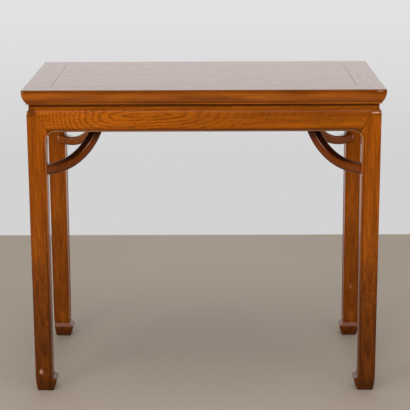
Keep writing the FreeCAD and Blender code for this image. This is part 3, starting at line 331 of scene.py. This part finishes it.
for row, side, signs in corners:
    leg = f"{row}_{side}_leg"
    foot = LEG_MIDDLE * signs
    # Darker towards the feet and hoofs, grime at the shoulder corners, and a painted shadow under the frame
    marks = [(foot, FOOT_REACH, FOOT_SHADE[row]),
             (foot, HOOF_REACH, HOOF_SHADE[row]),
             (SHOULDER_CORNER * signs, SHOULDER_REACH, GRIMY),
             ((0, 0, WAIST_TOP), UNDER_FRAME_LEG_REACH, UNDER_FRAME_SHADOW)]
    dress(leg, elm(f"lacquered_elm_{leg}", UPRIGHT, foot + LEG_PITH, LEG_BOW, figure=0.25, light=LEG_LIGHT,
                   deep=LEG_DEEP, marks=marks + worn_spots.get(leg, []), turned=toe_sheen[row],
                   bare=bare_and_highlight_patches.get(leg, ()), edged=True, coat=LEG_COAT))


# Aprons and waist: elm boards with the grain along their length, planed, stained and lacquered to a gloss.
# The aprons are flat-sawn and mitred to the legs, and the front one shows nested arches left of its middle.
# The waist strips are tongued between the aprons and the top frame.

# Painted shade lies along the aprons' lower edges, and a painted shadow in the crevice under the frame over
# the waist, and the long aprons darken to the right
LOWER_EDGE = Vector((0, 0, 0.746))
LOWER_EDGE_REACH = Vector((0.012, 0.012, 0.014))
LOWER_EDGE_SHADE = 0.55
RIGHT_END = Vector((0.3, 0.3, 0.775))
RIGHT_END_REACH = (0.7, WIDE, WIDE)
RIGHT_END_SHADE = 0.78
ARCHES = Vector((-0.04, 0, 0))
ARCHES_REACH = (0.36, 0.36, 0.12)
WAIST_LIGHT, WAIST_DEEP = "#a8560a", "#803c08"
WAIST_PITH = Vector((0.03, 0.04, 0.09))
UNDER_FRAME_LINE = Vector((0, 0, WAIST_TOP))
UNDER_FRAME_WAIST_REACH = Vector((0.03, 0.03, 0.008))
knots = {"front": [((0.168, -0.264, 0.777), (0.0035, 0.0035, 0.0035), HOLE_SHADE)]}
for side, grain, pith, bow, skew, out in (
        ("front", (1, 0, 0.04), (-0.157, -0.264, 0.790), (0, -1.24e-3, 0), 1.05e-3, (0, -1, 0)),
        ("back", (1, 0, 0), (0.12, 0.264, 0.785), (0, 1e-3, 0), 0.0, (0, 1, 0)),
        ("left", (0, 1, 0.04), (-0.479, 0.06, 0.780), (-1.6e-3, 0, 0), 0.0, (-1, 0, 0)),
        ("right", (0, 1, -0.04), (0.479, -0.05, 0.782), (1.6e-3, 0, 0), 0.0, (1, 0, 0))):
    face = LEG_FACE * Vector(out)
    length = Vector((WIDE, WIDE, 0)) - WIDE * Vector(out) * Vector(out)
    marks = [(face + LOWER_EDGE, length + LOWER_EDGE_REACH, LOWER_EDGE_SHADE),
             (face + RIGHT_END, RIGHT_END_REACH, RIGHT_END_SHADE)]
    dress(f"{side}_apron", elm(f"lacquered_elm_{side}_apron", grain, pith, bow, skew, first=6.5, wander=3.0,
                               ripple=8.0, figure=0.7, shown=(Vector(pith) + ARCHES, ARCHES_REACH),
                               marks=marks + knots.get(side, []), edged=True))
    waist_shadow = (face + UNDER_FRAME_LINE, length + UNDER_FRAME_WAIST_REACH, UNDER_FRAME_SHADOW)
    dress(f"{side}_waist", elm(f"lacquered_elm_{side}_waist", grain, Vector(pith) + WAIST_PITH,
                               light=WAIST_LIGHT, deep=WAIST_DEEP, marks=[waist_shadow]))


# Braces: four curved elm arms, sawn to shape, notched over the legs' inner corners and pegged to battens.
# Their wood is redder and darker than the rest, under the same lacquer. Small wedges of the same wood lock
# them in the legs, and round pins of bare elm, pale and matt, hold their upper ends.

# The grain rises inwards, and the upper faces look outwards and up. Painted shade darkens the upper ends
# under the apron, the upper faces and the undersides. The upper arris towards the front carries a painted
# highlight, and so do the back roots.
ARM_LIGHT = {"front": "#904612", "back": "#a4540e"}
ARM_DEEP = {"front": "#6c300a", "back": "#783806"}
ARM_LINE = "#401806"
ARM_PITH = Vector((0.03, 0.02, 0.05))
ARM_RISE, ARM_SLOPE = 1.2, 1.4
# The braces' upper ends carry a painted shadow of the apron
ARM_END = (0, 0, 0.735)
ARM_END_REACH = (WIDE, WIDE, 0.055)
ARM_END_SHADE = {"front": 0.15, "back": 0.6}
ARM_ROOT = Vector((0.450, 0.211, 0.638))
ARM_ROOT_REACH = (0.0045, 0.006, 0.013)
ARM_ROOT_SHARE = 0.45
UPPER_TURN, LOWER_TURN, ARRIS_TURN = (0.6, 0.85), (0.06, 0.31), (0.975, 0.998)
UPPER_SHADE = 0.8
LOWER_SHADE = {"front": 0.65, "back": 0.3}
ARRIS_HIGHLIGHT, ARRIS_SHARE = "#dcaa90", 0.6
PIN_LIGHT, PIN_DEEP, PIN_LINE = "#b08c60", "#96744c", "#6c4e30"
JOINER_PITH = (0, 0.3, 0.7)
for row, side, signs in corners:
    brace = f"{row}_{side}_brace"
    low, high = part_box(brace)
    upper = Vector((signs.x, signs.y, ARM_SLOPE)).normalized()
    arris = upper + Vector((signs.x * signs.y, -1, 0)).normalized()
    root_highlight = [(ARM_ROOT * signs, ARM_ROOT_REACH, ARM_ROOT_SHARE)] if row == "back" else []
    turned = ((upper, *UPPER_TURN, UPPER_SHADE, SHADE_BLACK), (-upper, *LOWER_TURN, LOWER_SHADE[row], SHADE_BLACK),
              (arris, *ARRIS_TURN, ARRIS_SHARE, ARRIS_HIGHLIGHT))
    dress(brace, elm(f"lacquered_red_elm_{brace}", (-signs.x, -signs.y, ARM_RISE),
                     (low + high) / 2 + ARM_PITH, light=ARM_LIGHT[row], deep=ARM_DEEP[row], line=ARM_LINE,
                     marks=[(ARM_END, ARM_END_REACH, ARM_END_SHADE[row])], turned=turned,
                     bare=root_highlight))
dress("brace_wedges", elm("lacquered_red_elm_brace_wedges", (1, 0, 0), JOINER_PITH, light=ARM_LIGHT["front"],
                          deep=ARM_DEEP["front"], line=ARM_LINE))
dress("brace_pins", elm("bare_elm_brace_pins", UPRIGHT, JOINER_PITH, light=PIN_LIGHT, deep=PIN_DEEP,
                        line=PIN_LINE, coat=0.0))


# Top frame: four elm members with a moulded edge, mitred and tenoned at the corners, with quiet grain under
# the lacquer. The top face and the upper edge and lower band of the moulding carry painted shade, the bead
# under it a painted highlight, and the front corners painted highlights.

FRAME_LIGHT, FRAME_DEEP = "#b6600e", "#803c08"
UPPER_EDGE, UPPER_EDGE_SHADE = 0.857, 0.6
LENGTHWISE, CROSSWISE = (WIDE, 0.006, 0.008), (0.006, WIDE, 0.008)
LOWER_BAND_SHADE = ((0, 0, 0.827), (WIDE, WIDE, 0.010), 0.72)
FRAME_BEAD_HIGHLIGHT = ((0, 0, 0.8228), (WIDE, WIDE, 0.0028), 1.45)
TOP_SHADE_SHARE = 0.5
top_shade = ((UPRIGHT, *UPPER_TURN, TOP_SHADE_SHARE, SHADE_BLACK),)
corner_highlights = [((0.472, -0.2735, 0.8555), (0.014, 0.004, 0.002), HIGHLIGHT_SHARE),
               ((-0.485, -0.273, 0.8545), (0.003, 0.004, 0.003), HIGHLIGHT_SHARE)]
for member, grain, pith, edge, reaches in (
        ("front_frame_rail", (1, 0, 0), (0.2, -0.15, 0.78), (0, -0.275, UPPER_EDGE), LENGTHWISE),
        ("back_frame_rail", (1, 0, 0), (-0.2, 0.15, 0.78), (0, 0.275, UPPER_EDGE), LENGTHWISE),
        ("left_frame_end", (0, 1, 0), (-0.36, 0.05, 0.76), (-0.49, 0, UPPER_EDGE), CROSSWISE),
        ("right_frame_end", (0, 1, 0), (0.36, 0.0, 0.76), (0.49, 0, UPPER_EDGE), CROSSWISE)):
    dress(member, elm(f"lacquered_elm_{member}", grain, pith, figure=0.15, pitted=0.12, light=FRAME_LIGHT,
                      deep=FRAME_DEEP, marks=[(edge, reaches, UPPER_EDGE_SHADE), LOWER_BAND_SHADE, FRAME_BEAD_HIGHLIGHT],
                      turned=top_shade, bare=corner_highlights))


# Panel: two flat-sawn elm boards, tongued together and floating in the frame's groove. The lacquered top is
# polished, so it mostly shows the reflected room, with faint streaks along the grain. Dark lines mark its
# joints with the long rails.

JOINT_REACH, JOINT_SHADE = (WIDE, 0.004, 0.02), 0.4
joint_lines = [((0, depth, 0.86), JOINT_REACH, JOINT_SHADE) for depth in (-0.201, 0.201)]
# The top faces carry the same painted shade as the frame's top
for board, depth in (("panel_front_board", -0.1), ("panel_back_board", 0.1)):
    dress(board, elm(f"lacquered_elm_{board}", (1, 0, 0), (0.1, depth, 0.82), (0, 0, 2e-4), figure=0.2,
                     pitted=0.1, light=FRAME_LIGHT, deep=FRAME_DEEP, marks=joint_lines, turned=top_shade))


# Battens: plain elm bars, dovetailed along the panel's underside and tenoned into the long rails.
# They are only planed and lacquered, with no marks of wear, because they are out of sight.

BATTEN_PITH = Vector((0.03, 0, -0.03))
for batten in ("left_batten", "centre_batten", "right_batten"):
    low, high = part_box(batten)
    dress(batten, elm(f"planed_elm_{batten}", (0, 1, 0), (low + high) / 2 + BATTEN_PITH))


# Studio: a plain pale floor that ends where a wall would stand, and a pale surround, brightest behind the
# desk. Soft lamps light it from above, the front, both sides and the back. Only the overhead one shows in
# the lacquer.

FLOOR, FLOOR_ROUGHNESS = "#b6a898", 0.7
FLOOR_SIDE, FLOOR_FRONT, FLOOR_BACK = 7, -2.2, 1.43
floor_mesh = bpy.data.meshes.new("floor")
floor_mesh.from_pydata([(-FLOOR_SIDE, FLOOR_FRONT, 0), (FLOOR_SIDE, FLOOR_FRONT, 0),
                        (FLOOR_SIDE, FLOOR_BACK, 0), (-FLOOR_SIDE, FLOOR_BACK, 0)], [], [(0, 1, 2, 3)])
floor = bpy.data.objects.new("floor", floor_mesh)
bpy.context.scene.collection.objects.link(floor)
floor_paint = bpy.data.materials.new("matt_floor_paint")
floor_paint.use_nodes = True
floor_surface = floor_paint.node_tree.nodes["Principled BSDF"]
floor_surface.inputs["Base Color"].default_value = linear(FLOOR)
floor_surface.inputs["Roughness"].default_value = FLOOR_ROUGHNESS
floor_mesh.materials.append(floor_paint)

# The surround's light goes by direction: dim in front of the desk, bright behind it, and in level bands that
# fade upwards. The camera itself sees a plain pale wall.
DIM, BRIGHT, DIM_UNTIL, BRIGHT_FROM = 0.06, 1.27, -0.1, 0.7
PAPER_LOW, PAPER_HIGH, LOW_UNTIL, HIGH_FROM = 0.65, 0.765, -0.2, -0.1
world = bpy.data.worlds.new("studio")
bpy.context.scene.world = world
world.use_nodes = True
room = world.node_tree
room.nodes.clear()
toward = add(room, "ShaderNodeSeparateXYZ", {0: add(room, "ShaderNodeTexCoord").outputs["Generated"]})
wall = add(room, "ShaderNodeMapRange", {
    0: toward.outputs["Y"], 1: DIM_UNTIL, 2: BRIGHT_FROM, 3: DIM, 4: BRIGHT})
height = add(room, "ShaderNodeMapRange", {0: toward.outputs["Z"], 1: -1.0, 2: 1.0})
bands = add(room, "ShaderNodeValToRGB", {0: height.outputs[0]}, stops=(
    (0.38, "#c0c0c0"), (0.5, "#ffffff"), (0.63, "#ffffff"), (0.76, "#808080"), (0.9, "#606060")))
glow = add(room, "ShaderNodeMath", {0: wall.outputs[0], 1: bands.outputs[0]}, operation="MULTIPLY")
paper = add(room, "ShaderNodeMapRange", {
    0: toward.outputs["Z"], 1: LOW_UNTIL, 2: HIGH_FROM, 3: PAPER_LOW, 4: PAPER_HIGH})
seen = add(room, "ShaderNodeLightPath").outputs["Is Camera Ray"]
level = add(room, "ShaderNodeMix", {0: seen, 2: glow.outputs[0], 3: paper.outputs[0]})
sky = add(room, "ShaderNodeBackground", {"Color": (1, 1, 1, 1), "Strength": level.outputs[0]})
add(room, "ShaderNodeOutputWorld", {0: sky.outputs[0]})

# Each lamp has its place, the point it faces, its width in metres and its watts
for lamp_name, place, aim, width, watts in (
        ("overhead_light", (0.0, -0.6, 3.4), (0, 0, 0.5), 3.6, 62),
        ("front_light", (-0.1, -5.2, 2.3), (0, -0.2, 0.6), 2.2, 97),
        ("left_fill", (-2.6, -3.4, 0.9), (0.3, 0, 0.5), 1.6, 54),
        ("right_fill", (2.6, -3.4, 0.9), (-0.3, 0, 0.5), 1.6, 20),
        ("left_card", (-7.4, -0.5, 1.8), (0, 0, 0.5), 3.5, 80),
        ("right_card", (7.4, -0.5, 1.8), (0, 0, 0.5), 3.5, 80),
        ("back_card", (0.0, 3.4, 1.6), (0, 0, 0.5), 2.0, 20)):
    lamp = bpy.data.lights.new(lamp_name, "AREA")
    lamp.size = width
    lamp.energy = watts
    holder = bpy.data.objects.new(lamp_name, lamp)
    holder.visible_camera = False
    holder.visible_glossy = lamp_name == "overhead_light"
    holder.location = place
    holder.rotation_euler = (Vector(aim) - Vector(place)).to_track_quat("-Z", "Y").to_euler()
    bpy.context.scene.collection.objects.link(holder)

bpy.context.scene.view_settings.view_transform = "Standard"

# The camera stands in front of the desk at standing height, with its turns in degrees and its lens in mm
EYE = (0.032276, -3.961462, 1.453129)
PITCH, YAW, ROLL = 13.857948, 0.469852, 0.276093
LENS, SENSOR = 122.24, 36
camera = bpy.data.cameras.new("camera")
camera.lens = LENS
camera.sensor_width = SENSOR
camera_holder = bpy.data.objects.new("camera", camera)
facing = (Matrix.Rotation(radians(YAW), 4, "Z") @ Matrix.Rotation(radians(90 - PITCH), 4, "X")
          @ Matrix.Rotation(radians(-ROLL), 4, "Z"))
camera_holder.matrix_world = Matrix.Translation(EYE) @ facing
bpy.context.scene.collection.objects.link(camera_holder)
bpy.context.scene.camera = camera_holder
